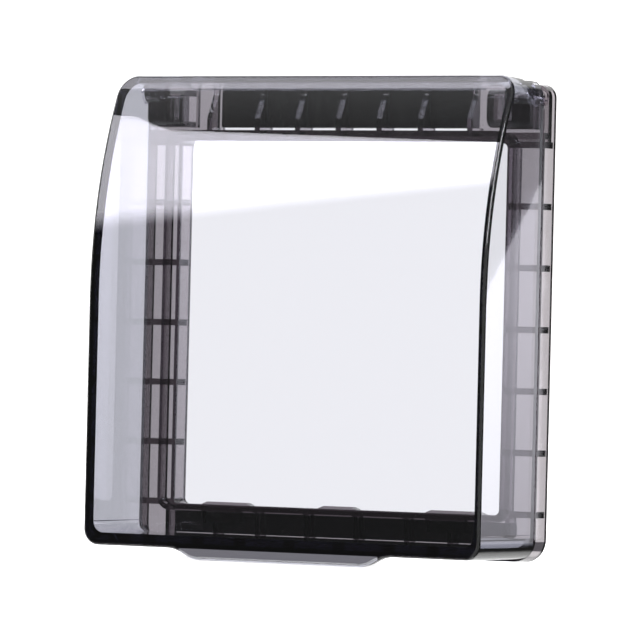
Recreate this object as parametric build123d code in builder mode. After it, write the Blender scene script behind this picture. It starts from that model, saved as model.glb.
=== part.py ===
"""Flip-up splash cover for a wall outlet: stick-on base frame, clear lid, two adhesive strips.

Frame: X to the right, Y into the wall, Z up. The origin is the centre of the opening
in the plane of the wall, so everything stands in front of it at negative Y.
"""
from build123d import *
import math
import os

# Opening, the wall round it and the drip lip in front of it
opening_width = 88.7
opening_height = 87.7
opening_radius = 1.3
inner_wall = 1.4
lip_wall = 1.3
lip_front = 7.65
lip_side_step = 1.95
lip_bottom_step = 0.3
lip_top_step = 1.2
lip_radius = 2.0

# Outline of the base frame at the wall, and its walls
base_half_width = 55.65
base_bottom = -54.8
base_top = 57.85
base_bottom_radius = 5.6
base_top_radius = 3.3
base_depth = 5.3
base_draft = 0.3
skirt_wall = 1.3
plate_wall = 1.5

# Ribs behind the side and bottom rails
rib_wall = 1.5
rib_recess = 0.3
side_rib_pitch = 14.5
side_rib_steps = 3
bottom_rib_places = (6.85, 20.8, 32.65, 46.3)

# Top rail, which the rear edge of the lid swings into
top_rail_depth = 3.1
slit_height = 0.8
gusset_pitch = 11.35
gusset_outer = 36.2
gusset_foot = 5.9
gusset_rise = 2.9

# Adhesive strips, set in recesses of the back
adhesive_thickness = 1.0
adhesive_edge_gap = 0.4
adhesive_radius = 0.6
bottom_strip_end_gap = 7.65
bottom_strip_width = 5.2

# Lid, its outline stepped from that of the base frame
lid_gap = 0.3
lid_front = 30.3
lid_side_step = 0.35
lid_side_draft = 0.6
lid_bottom_step = 0.9
lid_top_overhang = 1.45
lid_top_fall = 1.1
lid_bottom_radius = 3.9
lid_top_radius = 5.1
lid_wall = 2.2
lid_floor = 3.0
lid_edge_round = 0.8
front_facing = 0.8
bow_start = 5.7
bow_radius = 120.4

# Finger tab, a lip of the front panel
tab_drop = 2.65
tab_half_width = 31.1
tab_run = 9.2
tab_bend_share = 0.45

# Hinge
hinge_y = -7.95
hinge_z = 55.2
pin_radius = 1.5
pin_length = 2.6
pin_fit = 0.1
boss_radius = 2.75
boss_height = 0.6
end_play = 0.3
bracket_inner = 42.3
bracket_bottom = 47.1
bracket_top = 56.0
bracket_front = -8.8
bracket_wall = 1.4
bracket_round = 2.4
notch_room = 2.2
swing_clearance = 0.5

# Catch tongues at the back of the opening's lower edge, each on a pad behind the face plate
tongue_place = 31.3
tongue_width = 13.9
middle_tongue_width = 10.8
tongue_depth = 2.2
tongue_rise = 0.6
tongue_slope = 20.0
pad_width = 10.2
pad_height = 3.1

# Derived places
half_width = opening_width / 2
half_height = opening_height / 2
wall_outside = half_width + inner_wall
wall_bottom = -half_height - inner_wall
rail_step = half_height + lip_top_step + lip_wall
strip_bottom = rail_step + slit_height
plate_rear = base_depth - plate_wall
lid_rear = base_depth + lid_gap
lid_rear_half_width = base_half_width - lid_side_step
lid_bottom = base_bottom + lid_bottom_step
lid_top = base_top + lid_top_overhang
lid_taper = lid_side_draft / (lid_front - lid_rear)
tab_bottom_half_width = tab_half_width - tab_run
tab_bend = tab_bend_share * tab_run
swing_radius = math.hypot(-lid_rear - hinge_y, lid_top - lid_top_fall - hinge_z) + swing_clearance
skirt_top = base_top - skirt_wall
skirt_bottom = base_bottom + skirt_wall
skirt_side = base_half_width - skirt_wall
lid_inside_at_hinge = lid_rear_half_width - lid_wall - lid_taper * (-hinge_y - lid_rear)
bracket_outer = lid_inside_at_hinge - boss_height - end_play


def upright_outline(sketch, half_width, bottom, top, bottom_radius, top_radius):
    """Adds an upright rectangle with its own radii at the bottom and the top to a sketch."""
    with Locations((0, (bottom + top) / 2)):
        Rectangle(2 * half_width, top - bottom)
    fillet(sketch.vertices().group_by(Axis.Y)[0], bottom_radius)
    fillet(sketch.vertices().group_by(Axis.Y)[-1], top_radius)


def base_outline(sketch, depth, inset=0.0):
    """Outline of the base frame at a depth in front of the wall, drawn in by an inset."""
    drawn_in = inset + base_draft * depth / base_depth
    upright_outline(
        sketch,
        base_half_width - drawn_in,
        base_bottom + drawn_in,
        base_top - drawn_in,
        base_bottom_radius - drawn_in,
        base_top_radius - drawn_in,
    )


def base_block(inset):
    """Solid of the base frame's outline from the wall to its front, drawn in by an inset."""
    with BuildPart() as block:
        for depth in (0, base_depth):
            with BuildSketch(Plane.XZ.offset(depth)) as outline:
                base_outline(outline, depth, inset)
        loft(ruled=True)
    return block.part


def lid_form(inset, floor):
    """Solid of the lid's outer form, or of its cavity when drawn in by the wall and the floor."""
    front_y = inset - lid_front
    top_front = lid_top - inset
    radius = bow_radius - inset
    centre_y = bow_radius - lid_front

    def bow_y(height):
        return centre_y - math.sqrt(radius**2 - (height - bow_start) ** 2)

    top_slope = lid_top_fall / (-lid_rear - bow_y(lid_top))
    middle = (bow_start + top_front) / 2
    top_rear = top_front - top_slope * (-lid_rear - bow_y(top_front))
    with BuildPart() as form:
        with BuildSketch(Plane.YZ):
            with BuildLine():
                Polyline((-lid_rear, lid_bottom + floor), (front_y, lid_bottom + floor), (front_y, bow_start))
                ThreePointArc((front_y, bow_start), (bow_y(middle), middle), (bow_y(top_front), top_front))
                Polyline((bow_y(top_front), top_front), (-lid_rear, top_rear), (-lid_rear, lid_bottom + floor))
            make_face()
        extrude(amount=base_half_width, both=True)
        for depth in (lid_rear, lid_front):
            with BuildSketch(Plane.XZ.offset(depth)) as outline:
                drawn_in = inset + lid_taper * (depth - lid_rear)
                upright_outline(
                    outline,
                    lid_rear_half_width - drawn_in,
                    lid_bottom + floor,
                    lid_top - inset,
                    lid_bottom_radius - inset / 2,
                    lid_top_radius - inset / 2,
                )
        loft(ruled=True, mode=Mode.INTERSECT)
    return form.part


# Base frame: skirt, face plate, drip lip, ribs, gussets and hinge brackets, one moulding
base_shell = base_block(0)
base_hollow = base_block(skirt_wall)

with BuildPart() as base_frame:
    add(base_shell)
    add(base_hollow, mode=Mode.SUBTRACT)
    # Face plate of the side and bottom rails
    with BuildSketch(Plane.XZ.offset(plate_rear)) as plate_face:
        base_outline(plate_face, plate_rear, skirt_wall / 2)
        with Locations((0, rail_step + base_top)):
            Rectangle(2 * base_half_width, 2 * base_top, mode=Mode.SUBTRACT)
    extrude(amount=plate_wall)
    # Back plate of the top rail, with a slit between the outer gussets
    with BuildSketch(Plane.XZ.offset(adhesive_thickness)) as rail_face:
        base_outline(rail_face, adhesive_thickness, skirt_wall / 2)
        with Locations((0, half_height - base_top)):
            Rectangle(2 * base_half_width, 2 * base_top, mode=Mode.SUBTRACT)
        with Locations((0, rail_step + slit_height / 2)):
            Rectangle(2 * gusset_outer, slit_height, mode=Mode.SUBTRACT)
    extrude(amount=plate_wall)
    # Step where the face plate ends under the top rail
    with BuildSketch(Plane.XZ.offset(adhesive_thickness)):
        with Locations((0, rail_step - plate_wall / 2)):
            Rectangle(2 * skirt_side, plate_wall)
    extrude(amount=base_depth - adhesive_thickness)
    # Ribs behind the side rails
    with BuildSketch(Plane.XZ.offset(rib_recess)):
        with GridLocations(0, side_rib_pitch, 1, 2 * side_rib_steps + 1):
            Rectangle(2 * skirt_side, rib_wall)
    extrude(amount=plate_rear - rib_recess)
    # Ribs behind the bottom rail, short of the adhesive strip
    with BuildSketch(Plane.XZ.offset(adhesive_thickness)):
        for place in bottom_rib_places:
            for side in (-1, 1):
                with Locations((side * place, (skirt_bottom - half_height) / 2)):
                    Rectangle(rib_wall, -skirt_bottom - half_height)
    extrude(amount=plate_rear - adhesive_thickness)
    # Gussets of the top rail, hollowed round the swing of the lid
    inner_gussets = (-2 * gusset_pitch, -gusset_pitch, 0, gusset_pitch, 2 * gusset_pitch)
    for place in (-gusset_outer, *inner_gussets, gusset_outer):
        with BuildSketch(Plane.YZ.offset(place)):
            with BuildLine():
                Polyline(
                    (0, half_height),
                    (-gusset_foot, half_height),
                    (-gusset_foot, rail_step + gusset_rise),
                    (-top_rail_depth, hinge_z),
                    (-top_rail_depth, skirt_top),
                    (-adhesive_thickness, skirt_top),
                    (-adhesive_thickness, strip_bottom),
                    (0, strip_bottom),
                    close=True,
                )
            make_face()
            with Locations((hinge_y, hinge_z)):
                Circle(swing_radius, mode=Mode.SUBTRACT)
        extrude(amount=rib_wall / 2, both=True)
    # Drip lip, standing in front of the face plate
    lip_half_width = half_width + lip_side_step
    lip_bottom = -half_height - lip_bottom_step
    lip_top = half_height + lip_top_step
    for outset, mode in ((lip_wall, Mode.ADD), (0, Mode.SUBTRACT)):
        with BuildSketch(Plane.XZ.offset(base_depth)) as lip:
            upright_outline(
                lip,
                lip_half_width + outset,
                lip_bottom - outset,
                lip_top + outset,
                lip_radius + outset,
                lip_radius + outset,
            )
        extrude(amount=lip_front - base_depth, mode=mode)
    # Opening and the wall round it
    with BuildSketch(Plane.XZ):
        RectangleRounded(2 * wall_outside, -2 * wall_bottom, opening_radius + inner_wall)
    extrude(amount=base_depth)
    with BuildSketch(Plane.XZ):
        RectangleRounded(opening_width, opening_height, opening_radius)
    extrude(amount=base_depth, mode=Mode.SUBTRACT)
    # Catch tongues at the opening's lower edge
    for place, width in ((-tongue_place, tongue_width), (0, middle_tongue_width), (tongue_place, tongue_width)):
        with BuildSketch(Plane.XZ):
            with Locations((place, -half_height)):
                Trapezoid(width, tongue_rise, tongue_slope, align=(Align.CENTER, Align.MIN))
        extrude(amount=tongue_depth)
    # Pads below the outer tongues
    with BuildSketch(Plane.XZ.offset(adhesive_thickness)):
        with Locations((-tongue_place, wall_bottom), (tongue_place, wall_bottom)):
            Rectangle(pad_width, pad_height, align=(Align.CENTER, Align.MAX))
    extrude(amount=plate_rear - adhesive_thickness)
    # Room for the rear edge of the lid as it swings
    with BuildSketch(Plane.YZ):
        with Locations((hinge_y, hinge_z)):
            Circle(swing_radius)
        with Locations((-top_rail_depth, hinge_z)):
            Rectangle(base_depth, base_top, align=(Align.MAX, Align.MIN))
    extrude(amount=base_half_width, both=True, mode=Mode.SUBTRACT)
    # Hinge brackets, open at the back, with an eye for the pin at the outer end
    for side in (-1, 1):
        with BuildSketch(Plane.YZ.offset(side * bracket_inner)):
            with Locations((bracket_front / 2, (bracket_bottom + bracket_top) / 2)):
                block = Rectangle(-bracket_front, bracket_top - bracket_bottom)
            fillet(block.vertices().group_by(Axis.X)[0], bracket_round)
        extrude(amount=side * (bracket_outer - bracket_inner))
        with BuildSketch(Plane.YZ.offset(side * bracket_outer)):
            with Locations((hinge_y, hinge_z)):
                Circle(boss_radius)
        extrude(amount=-side * (pin_length + bracket_wall))
        with BuildSketch(Plane.YZ.offset(side * (bracket_inner + bracket_wall))):
            with Locations((bracket_front / 2 + bracket_wall / 2, (bracket_bottom + bracket_top) / 2)):
                hollow = Rectangle(-bracket_front - bracket_wall, bracket_top - bracket_bottom - 2 * bracket_wall)
            fillet(hollow.vertices().group_by(Axis.X)[0], bracket_round - bracket_wall)
        hollow_end = bracket_outer - pin_length - 2 * bracket_wall
        extrude(amount=side * (hollow_end - bracket_inner - bracket_wall), mode=Mode.SUBTRACT)
        with BuildSketch(Plane.YZ.offset(side * bracket_outer)):
            with Locations((hinge_y, hinge_z)):
                Circle(pin_radius + pin_fit)
        extrude(amount=-side * (pin_length + end_play), mode=Mode.SUBTRACT)
base_frame.part.label = "base_frame"


# Adhesive strips behind the top and bottom rails
with BuildPart() as adhesive_strip_top:
    with BuildSketch(Plane.XZ):
        strip_top = skirt_top - adhesive_edge_gap
        with Locations((0, (strip_bottom + strip_top) / 2)):
            RectangleRounded(2 * gusset_outer - rib_wall, strip_top - strip_bottom, adhesive_radius)
    extrude(amount=adhesive_thickness)
adhesive_strip_top.part.label = "adhesive_strip_top"

with BuildPart() as adhesive_strip_bottom:
    with BuildSketch(Plane.XZ):
        strip_edge = wall_bottom - adhesive_edge_gap
        with Locations((0, strip_edge - bottom_strip_width / 2)):
            RectangleRounded(2 * (skirt_side - bottom_strip_end_gap), bottom_strip_width, adhesive_radius)
    extrude(amount=adhesive_thickness)
adhesive_strip_bottom.part.label = "adhesive_strip_bottom"


# Lid: bowed clear cover with a finger tab and two inward pins
lid_outside = lid_form(0, 0)
lid_cavity = lid_form(lid_wall, lid_floor)

with BuildPart() as lid:
    add(lid_outside)
    # Finger tab below the front panel
    with BuildSketch(Plane.XZ.offset(lid_front - lid_wall)):
        with BuildLine():
            lip = lid_bottom - tab_drop
            for side in (-1, 1):
                Bezier(
                    (side * tab_half_width, lid_bottom),
                    (side * (tab_half_width - tab_bend), lid_bottom),
                    (side * (tab_bottom_half_width + tab_bend), lip),
                    (side * tab_bottom_half_width, lip),
                )
                Line((side * tab_half_width, lid_bottom), (side * tab_half_width, lid_bottom + lid_wall / 2))
            Line((-tab_bottom_half_width, lip), (tab_bottom_half_width, lip))
            Line(
                (-tab_half_width, lid_bottom + lid_wall / 2),
                (tab_half_width, lid_bottom + lid_wall / 2),
            )
        make_face()
    extrude(amount=lid_wall)
    # Rounded rim of the front panel and its bow
    panel = lid.faces().filter_by(lambda face: face.normal_at().Y < -front_facing)
    rim = panel.edges().filter_by(lambda edge: abs(edge.center().Z - bow_start) > lid_edge_round)
    fillet(rim, lid_edge_round)
    add(lid_cavity, mode=Mode.SUBTRACT)
    # Notches in the top wall over the hinge brackets
    notch_inner = bracket_inner - notch_room
    notch_front = hinge_y - boss_radius - swing_clearance
    with BuildSketch(Plane.XY.offset(hinge_z)):
        for side in (-1, 1):
            with Locations((side * (notch_inner + lid_inside_at_hinge) / 2, (notch_front - lid_rear) / 2)):
                Rectangle(lid_inside_at_hinge - notch_inner, -lid_rear - notch_front)
    extrude(amount=lid_top, mode=Mode.SUBTRACT)
    # Bosses and pins of the hinge
    for side in (-1, 1):
        with BuildSketch(Plane.YZ.offset(side * (lid_inside_at_hinge + lid_wall / 2))):
            with Locations((hinge_y, hinge_z)):
                Circle(boss_radius)
        extrude(amount=-side * (boss_height + lid_wall / 2))
        with BuildSketch(Plane.YZ.offset(side * lid_inside_at_hinge)):
            with Locations((hinge_y, hinge_z)):
                Circle(pin_radius)
        extrude(amount=-side * (boss_height + end_play + pin_length))
lid.part.label = "lid"


os.makedirs("parts", exist_ok=True)
for piece in (base_frame, adhesive_strip_top, adhesive_strip_bottom, lid):
    export_step(piece.part, f"parts/{piece.part.label}.step")
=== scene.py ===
"""Dresses the flip-up splash cover of a wall outlet: smoke-tinted clear mouldings, foam tape and studio."""
import math

import bmesh
import bpy
from bpy.props import FloatProperty, FloatVectorProperty, PointerProperty, StringProperty
from bpy.types import Operator, Panel, PropertyGroup
from mathutils import Matrix, Vector


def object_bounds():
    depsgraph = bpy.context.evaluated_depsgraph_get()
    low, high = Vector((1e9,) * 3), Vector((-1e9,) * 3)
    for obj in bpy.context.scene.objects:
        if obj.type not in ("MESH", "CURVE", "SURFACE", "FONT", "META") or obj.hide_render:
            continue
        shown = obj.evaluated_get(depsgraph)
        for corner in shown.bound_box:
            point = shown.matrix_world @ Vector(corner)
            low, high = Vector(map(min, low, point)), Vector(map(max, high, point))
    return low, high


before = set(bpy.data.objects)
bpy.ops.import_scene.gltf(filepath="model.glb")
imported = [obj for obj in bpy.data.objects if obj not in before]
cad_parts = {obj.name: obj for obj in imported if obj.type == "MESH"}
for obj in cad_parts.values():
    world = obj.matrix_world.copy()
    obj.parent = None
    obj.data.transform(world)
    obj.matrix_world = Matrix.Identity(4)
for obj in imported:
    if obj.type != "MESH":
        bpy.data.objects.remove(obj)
cad_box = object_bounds()

bl_info = {
    "name": "Outlet splash cover",
    "version": (1, 0, 0),
    "blender": (4, 5, 0),
    "location": "3D View > Sidebar > Splash cover",
    "description": "Finishes the mouldings and the tape of a flip-up outlet cover and sets up its studio",
    "category": "Object",
}

# Camera: the photo's width in pixels, the sensor's in millimetres, and how far it sees in metres
PHOTO_PIXELS = 640
SENSOR_WIDTH = 36
CLIP_END = 50

# Clear plastic needs many bounces of light
MAX_BOUNCES = 40
GLOSSY_BOUNCES = 12

WHITE = "#ffffff"

# Parts of the room, each with the X or Y share of a direction where the part starts and where it is full
BEHIND = (-0.75, -0.2)
LEFT = (0.35, 0.15)
RIGHT = (-0.4, -0.1)
IN_FRONT = (0.15, -0.15)

# Planes across Y that the upright light panels stand in, in metres
FRONT_PLANE = -1.3
BACK_PLANE = 1.0

# Outlines of the upright panels as (x, z) pairs in metres. A soft edge lies between the first two
FRONT_OUTLINE = (
    (-0.955, 0.288), (-0.655, 0.888), (-0.80, 1.033), (-1.12, 1.175), (-1.20, 1.31), (-1.30, 1.38),
)
STRIP_OUTLINE = ((-1.7, 2.6), (-0.8, 2.6), (-0.8, 1.71), (-1.7, 1.71))
SIDE_OUTLINE = ((0.45, -0.3), (0.76, -0.3), (0.76, -0.078), (0.45, 0.479))
SKIRT_OUTLINE = ((0.77, 0.15), (1.3, 0.15), (1.3, -0.3), (0.77, -0.3))
CARD_OUTLINE = ((-1.3, -0.17), (0.4, -0.17), (0.4, -0.09), (-1.3, -0.09))

# Corners of the two panels that stand askew or lie flat, in metres
KEY_CORNERS = ((0.35, -1.5, 0.35), (1.15, -1.1, 0.35), (1.15, -1.1, 1.15), (0.35, -1.5, 1.15))
OVERHEAD_CORNERS = ((-1.0, -0.9, 1.5), (0.3, -0.9, 1.5), (0.3, 0.9, 1.5), (-1.0, 0.9, 1.5))


def linear(hex_colour):
    """Linear red, green, blue and full alpha of an sRGB hex colour, by the sRGB standard's curve."""
    parts = [int(hex_colour[place:place + 2], 16) / 255 for place in (1, 3, 5)]
    return [part / 12.92 if part <= 0.04045 else ((part + 0.055) / 1.055) ** 2.4 for part in parts] + [1.0]


def add_node(tree, kind, settings=None, operands=(), **inputs):
    """Adds a shader node with its settings. Operands, by order, and inputs, by name, hold values, or sockets
    to link from."""
    node = tree.nodes.new(kind)
    for name, value in (settings or {}).items():
        setattr(node, name, value)
    sockets = list(zip(node.inputs, operands))
    sockets += [(node.inputs[name.replace("_", " ")], value) for name, value in inputs.items()]
    for socket, value in sockets:
        if isinstance(value, bpy.types.NodeSocket):
            tree.links.new(value, socket)
        else:
            socket.default_value = value
    return node


def new_material(name):
    """An empty node material and its tree."""
    material = bpy.data.materials.new(name)
    material.use_nodes = True
    material.node_tree.nodes.clear()
    return material, material.node_tree


def finish_node(name, material):
    """Gives one CAD node its material."""
    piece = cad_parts[name]
    piece.data.materials.clear()
    piece.data.materials.append(material)


class MouldingLook(PropertyGroup):
    """Tint and gloss of the two clear mouldings."""

    lid_tint: StringProperty(
        name="Lid tint", description="Colour that the lid lets through", default="#717390",
    )
    base_tint: StringProperty(
        name="Base tint", description="Colour that the base frame lets through", default="#70596a",
    )
    lid_density: FloatProperty(
        name="Lid density", description="How fast light fades in the lid, per metre", default=235.0, min=0.0,
    )
    base_density: FloatProperty(
        name="Base density", description="How fast light fades in the base frame, per metre",
        default=740.0, min=0.0,
    )
    lid_roughness: FloatProperty(
        name="Lid roughness", description="Roughness of the lid's polished surface",
        default=0.015, min=0.0, max=1.0, subtype="FACTOR",
    )
    base_roughness: FloatProperty(
        name="Base roughness", description="Roughness of the base frame's surface",
        default=0.02, min=0.0, max=1.0, subtype="FACTOR",
    )
    refractive_index: FloatProperty(
        name="Refractive index", description="How strongly both plastics bend light", default=1.58, min=1.0,
    )
    flow_size: FloatProperty(
        name="Flow mark size", description="Size of the faint flow marks of moulding",
        default=0.008, min=0.0001, unit="LENGTH",
    )
    flow_detail: FloatProperty(
        name="Flow mark detail", description="Layers of finer flow marks within each", default=2.0, min=0.0,
    )
    flow_height: FloatProperty(
        name="Flow mark height", description="Height of the faint flow marks of moulding",
        default=0.000002, min=0.0, unit="LENGTH",
    )


class TapeLook(PropertyGroup):
    """Colour and cells of the foam tape."""

    foam_colour: StringProperty(name="Foam colour", description="Colour of the foam", default="#3c3a41")
    foam_roughness: FloatProperty(
        name="Foam roughness", description="Roughness of the foam",
        default=0.85, min=0.0, max=1.0, subtype="FACTOR",
    )
    cell_size: FloatProperty(
        name="Cell size", description="Size of the foam's cells", default=0.0006, min=0.0001, unit="LENGTH",
    )
    cell_depth: FloatProperty(
        name="Cell depth", description="Depth of the foam's cells", default=0.0001, min=0.0, unit="LENGTH",
    )
    cell_relief: FloatProperty(
        name="Cell relief", description="How much of the cells' depth shows",
        default=0.4, min=0.0, max=1.0, subtype="FACTOR",
    )


class StudioLook(PropertyGroup):
    """Camera, lights and floor."""

    azimuth: FloatProperty(
        name="Azimuth", description="Camera's turn to the right of the front",
        default=math.radians(31.0), subtype="ANGLE",
    )
    elevation: FloatProperty(
        name="Elevation", description="Camera's rise above level",
        default=math.radians(-0.30), subtype="ANGLE",
    )
    roll: FloatProperty(
        name="Roll", description="Camera's turn about its own view",
        default=math.radians(1.38), subtype="ANGLE",
    )
    focal_pixels: FloatProperty(
        name="Focal length", description="Focal length in pixels of the photo's width", default=6288.0,
    )
    distance: FloatProperty(
        name="Distance", description="Distance of the camera from the middle of the opening",
        default=1.5086, unit="LENGTH",
    )
    aim: FloatVectorProperty(
        name="Aim", description="Sideways and upward shift of the view's centre",
        size=2, default=(-0.00676, 0.0013), unit="LENGTH",
    )
    backdrop_light: FloatProperty(
        name="Backdrop light", description="Brightness of the backdrop behind the cover and to its left",
        default=1.47, min=0.0,
    )
    fill_light: FloatProperty(
        name="Fill light", description="Brightness of the room in front of the cover and to its right",
        default=0.8, min=0.0,
    )
    room_light: FloatProperty(
        name="Room light", description="Brightness of the dark parts, at the front left and the back right",
        default=0.10, min=0.0,
    )
    panel_colour: StringProperty(
        name="Panel colour", description="Colour of the light panels", default="#f4f2fb",
    )
    front_panel_light: FloatProperty(
        name="Front panel light", description="Brightness of the panel that the bowed lid reflects",
        default=7.8, min=0.0,
    )
    front_soft_edge: FloatProperty(
        name="Front soft edge",
        description="Width over which the front panel fades out at its lower right edge",
        default=0.10, min=0.0, unit="LENGTH",
    )
    strip_light: FloatProperty(
        name="Strip light",
        description="Brightness of the strip that the band along the lid's top edge reflects",
        default=5.2, min=0.0,
    )
    strip_soft_edge: FloatProperty(
        name="Strip soft edge", description="Width over which the strip fades out at its upper edge",
        default=0.80, min=0.0, unit="LENGTH",
    )
    side_panel_light: FloatProperty(
        name="Side panel light", description="Brightness of the panel that the lid's side wall reflects",
        default=3.2, min=0.0,
    )
    side_soft_edge: FloatProperty(
        name="Side soft edge", description="Width over which the side panel fades out at its lower edge",
        default=0.45, min=0.0, unit="LENGTH",
    )
    skirt_panel_light: FloatProperty(
        name="Skirt panel light", description="Brightness of the panel that the base frame's skirt reflects",
        default=2.8, min=0.0,
    )
    skirt_soft_edge: FloatProperty(
        name="Skirt soft edge", description="Width over which the skirt panel fades out at its upper edge",
        default=0.15, min=0.0, unit="LENGTH",
    )
    key_light: FloatProperty(
        name="Key light", description="Brightness of the panel at the front right that lights the foam tape",
        default=10.0, min=0.0,
    )
    overhead_light: FloatProperty(
        name="Overhead light", description="Brightness of the softbox overhead", default=2.0, min=0.0,
    )
    card_light: FloatProperty(
        name="Card light", description="Brightness of the dim card low behind the cover",
        default=0.3, min=0.0,
    )
    floor_half_width: FloatProperty(
        name="Floor half width", description="Half the width of the floor", default=4.0, unit="LENGTH",
    )
    floor_gap: FloatProperty(
        name="Floor gap", description="Gap between the finger tab and the floor",
        default=0.0002, unit="LENGTH",
    )
    floor_shade: FloatProperty(
        name="Floor shade", description="Share of the light that the floor sends back",
        default=0.9, min=0.0, max=1.0, subtype="FACTOR",
    )
    floor_roughness: FloatProperty(
        name="Floor roughness", description="Roughness of the floor",
        default=0.9, min=0.0, max=1.0, subtype="FACTOR",
    )
    floor_glow: FloatProperty(
        name="Floor glow", description="Brightness of the light under the floor", default=0.9, min=0.0,
    )


def tinted_plastic(name, tint, density, roughness, look):
    """Injection moulded polycarbonate with a smoke tint: gloss with faint flow marks, and light that fades
    along its path, so that thin walls look pale and walls seen edge on look nearly black."""
    material, tree = new_material(name)
    place = add_node(tree, "ShaderNodeTexCoord")
    flow = add_node(
        tree, "ShaderNodeTexNoise",
        Vector=place.outputs["Object"], Scale=1 / look.flow_size, Detail=look.flow_detail,
    )
    bump = add_node(tree, "ShaderNodeBump", Height=flow.outputs["Fac"], Distance=look.flow_height)
    shader = add_node(
        tree, "ShaderNodeBsdfPrincipled",
        Base_Color=linear(WHITE), Roughness=roughness, IOR=look.refractive_index, Transmission_Weight=1.0,
        Normal=bump.outputs["Normal"],
    )
    fade = add_node(tree, "ShaderNodeVolumeAbsorption", Color=linear(tint), Density=density)
    add_node(
        tree, "ShaderNodeOutputMaterial", Surface=shader.outputs["BSDF"], Volume=fade.outputs["Volume"],
    )
    return material


def foam_tape(look):
    """Closed-cell polyethylene foam, cut from a roll: matt and dark grey, with fine cells."""
    material, tree = new_material("cut polyethylene foam tape")
    place = add_node(tree, "ShaderNodeTexCoord")
    cells = add_node(
        tree, "ShaderNodeTexVoronoi", Vector=place.outputs["Object"], Scale=1 / look.cell_size,
    )
    bump = add_node(
        tree, "ShaderNodeBump",
        Height=cells.outputs["Distance"], Strength=look.cell_relief, Distance=look.cell_depth,
    )
    shader = add_node(
        tree, "ShaderNodeBsdfPrincipled",
        Base_Color=linear(look.foam_colour), Roughness=look.foam_roughness, Normal=bump.outputs["Normal"],
    )
    add_node(tree, "ShaderNodeOutputMaterial", Surface=shader.outputs["BSDF"])
    return material


def light_table(look):
    """Opal acrylic sheet, lit evenly from below: plain white, too bright for the cover's shadow to show."""
    material, tree = new_material("opal acrylic light table")
    shader = add_node(
        tree, "ShaderNodeBsdfPrincipled",
        Base_Color=[look.floor_shade] * 3 + [1.0], Roughness=look.floor_roughness,
        Emission_Color=linear(WHITE), Emission_Strength=look.floor_glow,
    )
    add_node(tree, "ShaderNodeOutputMaterial", Surface=shader.outputs["BSDF"])
    return material


def diffuser(name, corners, strength, colour, soft_edge):
    """Diffuser cloth of a studio light: glows evenly, or fades out towards the edge at its first two
    corners."""
    material, tree = new_material(name)
    if soft_edge:
        start, end, opposite = (Vector(corner) for corner in corners[:3])
        along = (end - start).normalized()
        inward = (opposite - start) - along * (opposite - start).dot(along)
        inward.normalize()
        edge = start.dot(inward)
        place = add_node(tree, "ShaderNodeTexCoord")
        depth = add_node(
            tree, "ShaderNodeVectorMath", {"operation": "DOT_PRODUCT"}, (place.outputs["Object"], inward),
        )
        fade = add_node(
            tree, "ShaderNodeMapRange", {"interpolation_type": "SMOOTHSTEP"},
            Value=depth.outputs["Value"], From_Min=edge, From_Max=edge + soft_edge, To_Max=strength,
        )
        strength = fade.outputs["Result"]
    glow = add_node(tree, "ShaderNodeEmission", Color=linear(colour), Strength=strength)
    add_node(tree, "ShaderNodeOutputMaterial", Surface=glow.outputs["Emission"])
    return material


def sheet_object(name, sheet, material):
    """Puts a bmesh into the scene as an object with one material."""
    mesh = bpy.data.meshes.new(name)
    sheet.to_mesh(mesh)
    sheet.free()
    mesh.materials.append(material)
    thing = bpy.data.objects.new(name, mesh)
    bpy.context.scene.collection.objects.link(thing)
    return thing


def lay_floor(look):
    """Lays the floor just under the finger tab. The clear plastic neither mirrors it nor shows it through."""
    sheet = bmesh.new()
    bmesh.ops.create_grid(sheet, x_segments=1, y_segments=1, size=look.floor_half_width)
    bmesh.ops.translate(sheet, verts=sheet.verts, vec=(0, 0, cad_box[0][2] - look.floor_gap))
    floor = sheet_object("floor", sheet, light_table(look))
    floor.visible_glossy = False
    floor.visible_transmission = False


def upright(outline, plane):
    """Corners of a panel that stands in a plane across Y, from its outline."""
    return [(x, plane, z) for x, z in outline]


def light_panel(name, corners, strength, colour, soft_edge):
    """Stands a flat light in the studio, which the plastic mirrors and the camera doesn't see."""
    sheet = bmesh.new()
    sheet.faces.new([sheet.verts.new(corner) for corner in corners])
    material = diffuser(name + " diffuser", corners, strength, colour, soft_edge)
    panel = sheet_object(name, sheet, material)
    panel.visible_camera = False


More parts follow.
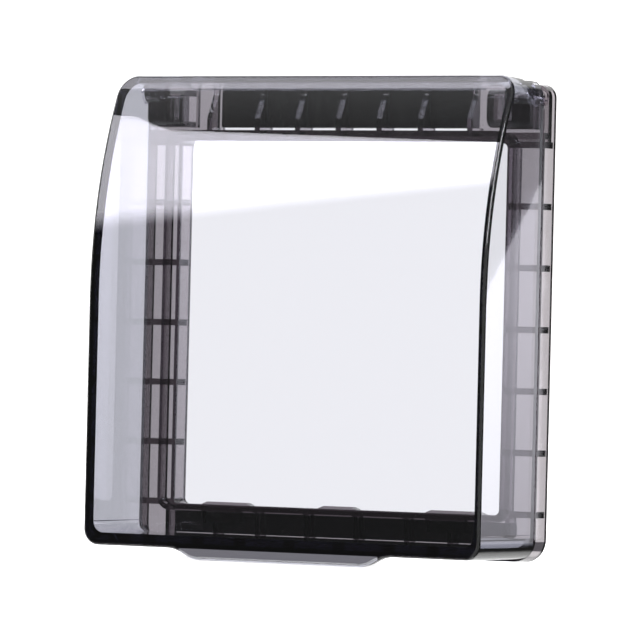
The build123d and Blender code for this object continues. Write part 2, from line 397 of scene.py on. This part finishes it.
def light_room(look):
    """Surrounds the cover as in product photography of clear goods: a bright backdrop behind it and to its
    left, a softer fill in front and to its right, and dark parts between, which the lid mirrors."""
    world = bpy.data.worlds.new("bright backdrop and dark room")
    bpy.context.scene.world = world
    world.use_nodes = True
    tree = world.node_tree
    tree.nodes.clear()
    direction = add_node(tree, "ShaderNodeTexCoord")
    shares = add_node(tree, "ShaderNodeSeparateXYZ", Vector=direction.outputs["Generated"])
    parts = []
    for axis, limits, full in (
        ("Y", BEHIND, 1.0), ("X", LEFT, 1.0), ("X", RIGHT, 1.0), ("Y", IN_FRONT, look.fill_light),
    ):
        part = add_node(
            tree, "ShaderNodeMapRange", {"interpolation_type": "SMOOTHSTEP"},
            Value=shares.outputs[axis], From_Min=limits[0], From_Max=limits[1], To_Max=full,
        )
        parts.append(part.outputs["Result"])
    behind, left, right, in_front = parts
    backdrop = add_node(tree, "ShaderNodeMath", {"operation": "MULTIPLY"}, (behind, left))
    lit = add_node(
        tree, "ShaderNodeMapRange",
        Value=backdrop.outputs["Value"], To_Min=look.room_light, To_Max=look.backdrop_light,
    )
    fill = add_node(tree, "ShaderNodeMath", {"operation": "MULTIPLY"}, (right, in_front))
    room = add_node(
        tree, "ShaderNodeMath", {"operation": "MAXIMUM"}, (lit.outputs["Result"], fill.outputs["Value"]),
    )
    # What the camera sees straight on is white at least
    rays = add_node(tree, "ShaderNodeLightPath")
    level = add_node(
        tree, "ShaderNodeMath", {"operation": "MAXIMUM"},
        (room.outputs["Value"], rays.outputs["Is Camera Ray"]),
    )
    glow = add_node(tree, "ShaderNodeBackground", Color=linear(WHITE), Strength=level.outputs["Value"])
    add_node(tree, "ShaderNodeOutputWorld", Surface=glow.outputs["Background"])


def set_up_camera(look):
    """Looks at the cover as the photo does."""
    back = Vector((
        math.sin(look.azimuth) * math.cos(look.elevation),
        -math.cos(look.azimuth) * math.cos(look.elevation),
        math.sin(look.elevation),
    ))
    right = Vector((math.cos(look.azimuth), math.sin(look.azimuth), 0))
    up = back.cross(right)
    place = right * look.aim[0] + up * look.aim[1] + back * look.distance
    turned = (
        right * math.cos(look.roll) + up * math.sin(look.roll),
        up * math.cos(look.roll) - right * math.sin(look.roll),
        back,
    )
    camera = bpy.data.cameras.new("photo camera")
    camera.sensor_width = SENSOR_WIDTH
    camera.lens = SENSOR_WIDTH * look.focal_pixels / PHOTO_PIXELS
    camera.clip_end = CLIP_END
    rig = bpy.data.objects.new("photo camera", camera)
    bpy.context.scene.collection.objects.link(rig)
    rig.matrix_world = Matrix.Translation(place) @ Matrix(turned).transposed().to_4x4()
    bpy.context.scene.camera = rig


class COVER_OT_base_frame(Operator):
    """Finishes the base frame"""

    bl_idname = "splash_cover.base_frame"
    bl_label = "Base frame"

    def execute(self, context):
        look = context.scene.cover_moulding
        material = tinted_plastic(
            "moulded smoke polycarbonate", look.base_tint, look.base_density, look.base_roughness, look,
        )
        finish_node("base_frame", material)
        return {"FINISHED"}


class COVER_OT_lid(Operator):
    """Finishes the lid"""

    bl_idname = "splash_cover.lid"
    bl_label = "Lid"

    def execute(self, context):
        look = context.scene.cover_moulding
        material = tinted_plastic(
            "moulded pale smoke polycarbonate", look.lid_tint, look.lid_density, look.lid_roughness, look,
        )
        finish_node("lid", material)
        return {"FINISHED"}


class COVER_OT_tape(Operator):
    """Finishes the two strips of foam tape"""

    bl_idname = "splash_cover.tape"
    bl_label = "Foam tape"

    def execute(self, context):
        material = foam_tape(context.scene.cover_tape)
        for name in ("adhesive_strip_top", "adhesive_strip_bottom"):
            finish_node(name, material)
        return {"FINISHED"}


class COVER_OT_studio(Operator):
    """Sets up the floor, the lights and the camera"""

    bl_idname = "splash_cover.studio"
    bl_label = "Studio"

    def execute(self, context):
        look = context.scene.cover_studio
        lay_floor(look)
        light_room(look)
        front = upright(FRONT_OUTLINE, FRONT_PLANE)
        strip = upright(STRIP_OUTLINE, FRONT_PLANE)
        side = upright(SIDE_OUTLINE, BACK_PLANE)
        skirt = upright(SKIRT_OUTLINE, BACK_PLANE)
        card = upright(CARD_OUTLINE, BACK_PLANE)
        for name, corners, strength, soft_edge in (
            # At the upper left in front, for the wedge on the bow and the band along the lid's top edge
            ("front light panel", front, look.front_panel_light, look.front_soft_edge),
            ("strip light panel", strip, look.strip_light, look.strip_soft_edge),
            # At the back right, for the lid's side wall and the base frame's skirt
            ("side light panel", side, look.side_panel_light, look.side_soft_edge),
            ("skirt light panel", skirt, look.skirt_panel_light, look.skirt_soft_edge),
            # By the camera, overhead, and low behind the cover, where a dim card outlines its bottom edge
            ("key light panel", KEY_CORNERS, look.key_light, 0.0),
            ("overhead softbox", OVERHEAD_CORNERS, look.overhead_light, 0.0),
            ("low card", card, look.card_light, 0.0),
        ):
            light_panel(name, corners, strength, look.panel_colour, soft_edge)
        set_up_camera(look)
        scene = context.scene
        # Colours as the materials give them, without a film curve
        scene.view_settings.view_transform = "Standard"
        scene.cycles.max_bounces = MAX_BOUNCES
        scene.cycles.transmission_bounces = MAX_BOUNCES
        scene.cycles.glossy_bounces = GLOSSY_BOUNCES
        scene.cycles.use_denoising = True
        return {"FINISHED"}


class COVER_PT_panel(Panel):
    """Lists the pieces of the cover and their looks"""

    bl_label = "Splash cover"
    bl_idname = "COVER_PT_panel"
    bl_space_type = "VIEW_3D"
    bl_region_type = "UI"
    bl_category = "Splash cover"

    def draw(self, context):
        layout = self.layout
        for group in (context.scene.cover_moulding, context.scene.cover_tape, context.scene.cover_studio):
            column = layout.column()
            for name in group.bl_rna.properties.keys():
                if name not in ("rna_type", "name"):
                    column.prop(group, name)
        for operator in OPERATORS:
            layout.operator(operator.bl_idname)


OPERATORS = (COVER_OT_base_frame, COVER_OT_lid, COVER_OT_tape, COVER_OT_studio)
CLASSES = (MouldingLook, TapeLook, StudioLook) + OPERATORS + (COVER_PT_panel,)


def register():
    for kind in CLASSES:
        bpy.utils.register_class(kind)
    bpy.types.Scene.cover_moulding = PointerProperty(type=MouldingLook)
    bpy.types.Scene.cover_tape = PointerProperty(type=TapeLook)
    bpy.types.Scene.cover_studio = PointerProperty(type=StudioLook)


def unregister():
    del bpy.types.Scene.cover_studio
    del bpy.types.Scene.cover_tape
    del bpy.types.Scene.cover_moulding
    for kind in reversed(CLASSES):
        bpy.utils.unregister_class(kind)


def main():
    register()
    bpy.ops.splash_cover.base_frame()
    bpy.ops.splash_cover.lid()
    bpy.ops.splash_cover.tape()
    bpy.ops.splash_cover.studio()


if __name__ == "__main__":
    main()
